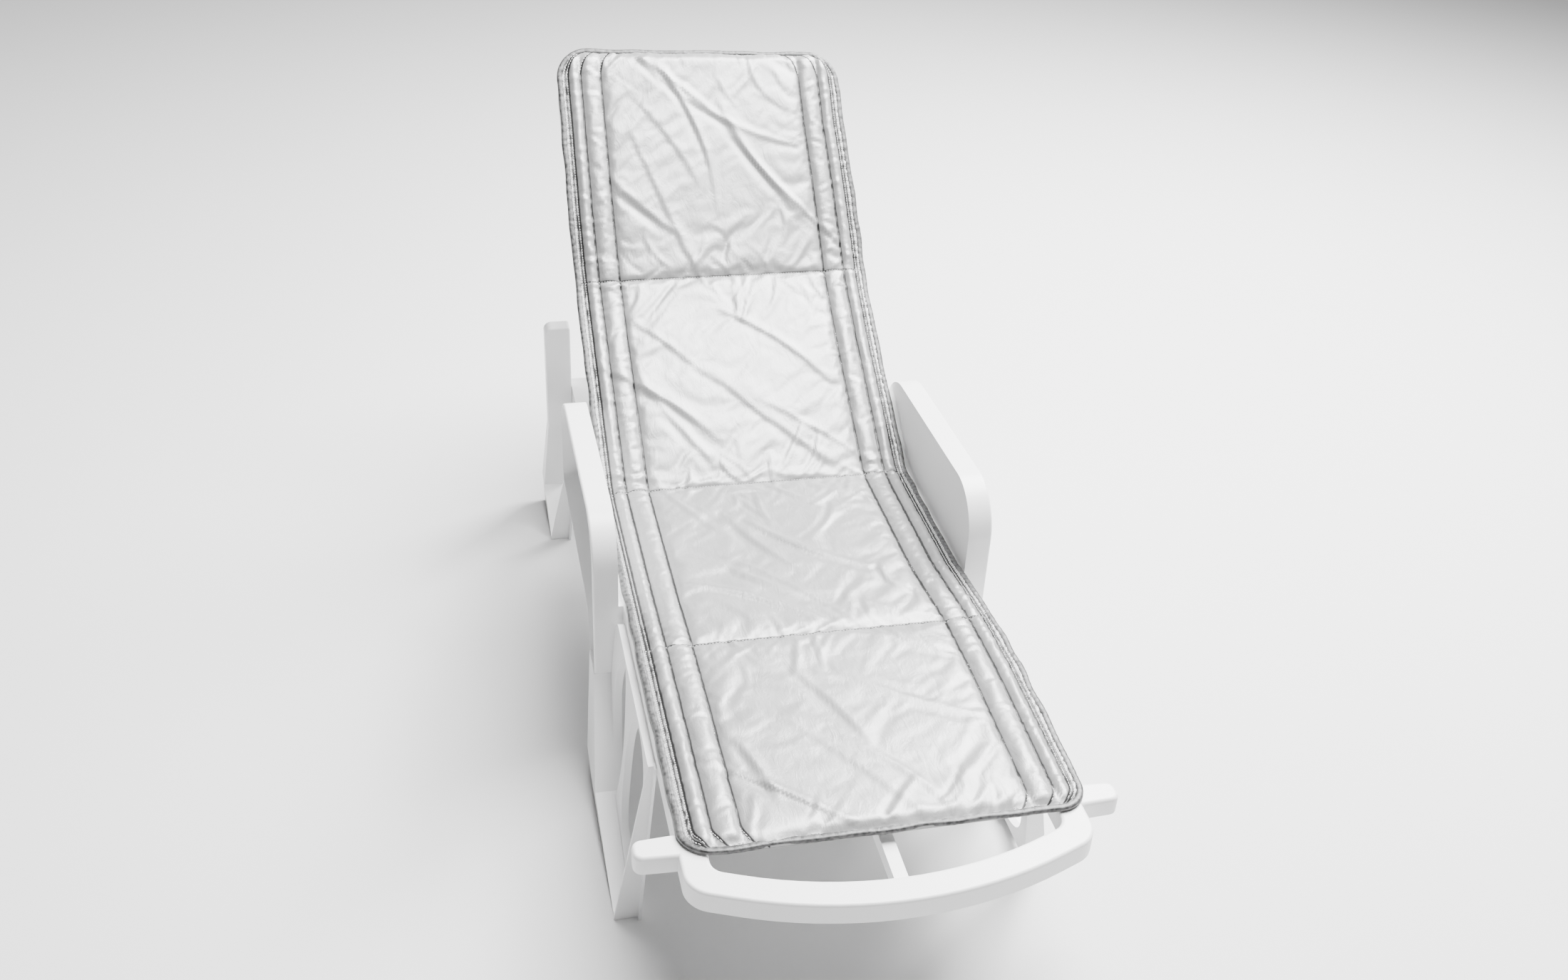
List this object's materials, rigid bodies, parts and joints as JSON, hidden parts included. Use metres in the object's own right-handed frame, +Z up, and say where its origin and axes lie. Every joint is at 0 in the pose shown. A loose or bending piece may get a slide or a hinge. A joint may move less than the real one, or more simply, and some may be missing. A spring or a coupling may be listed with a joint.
{
  "type": "reclining sun lounger",
  "caption": "Reclining outdoor lounger: a moulded slatted frame on splayed legs with arms, a hinged backrest held by a swinging prop, and a long quilted pad.",
  "frame": {"origin": "on the floor, under the middle of the overall length and on the centre plane", "axes": "+X across the lounger, +Y from the foot end to the head end, +Z up"},
  "size_m": [0.714, 1.7582, 0.9298],
  "materials": {
    "resin": "white injection-moulded resin with a satin gloss",
    "pad_fabric": "light grey woven nylon with a silvery sheen, stitched into channels",
    "steel": "plain brushed steel"
  },
  "bodies": {
    "base": {"arm_left": "resin", "arm_right": "resin", "arm_screws": "steel", "front_leg_left": "resin", "front_leg_right": "resin", "front_strut_left": "resin", "front_strut_right": "resin", "hinge_cross_bar": "resin", "hinge_pin_left": "steel", "hinge_pin_right": "steel", "leg_brace_left": "resin", "leg_brace_right": "resin", "rack_left": "resin", "rack_right": "resin", "rear_cross_bar": "resin", "rear_foot_left": "resin", "rear_foot_right": "resin", "rear_post_left": "resin", "rear_post_right": "resin", "rear_strut_left": "resin", "rear_strut_right": "resin", "seat_frame": "resin", "seat_pad": "pad_fabric", "seat_slat_1": "resin", "seat_slat_2": "resin", "seat_slat_3": "resin", "seat_slat_4": "resin", "seat_slat_5": "resin", "seat_slat_6": "resin", "seat_slat_7": "resin", "seat_slat_8": "resin", "seat_slat_9": "resin", "seat_spine": "resin"},
    "backrest": {"back_lower_bar": "resin", "back_pad": "pad_fabric", "back_rail_left": "resin", "back_rail_right": "resin", "back_slat_1": "resin", "back_slat_2": "resin", "back_slat_3": "resin", "back_slat_4": "resin", "back_slat_5": "resin", "back_slat_6": "resin", "back_slat_7": "resin", "back_top_bar": "resin", "prop_pin_left": "steel", "prop_pin_right": "steel"},
    "prop": {"prop_arm_left": "resin", "prop_arm_right": "resin", "prop_bar": "resin"}
  },
  "joints": [
    {"name": "recline", "type": "hinge", "parent": "base", "child": "backrest", "pos_m": [0, 0.15744, 0.3], "axis": [1, 0, 0], "range_deg": [-33, 29]},
    {"name": "prop_swing", "type": "hinge", "parent": "backrest", "child": "prop", "pos_m": [0, 0.35033, 0.42527], "axis": [1, 0, 0], "range_deg": [-59, 67]}
  ],
  "couplings": [
    {"joint": "prop_swing", "follows": "recline", "ratio": -2}
  ]
}
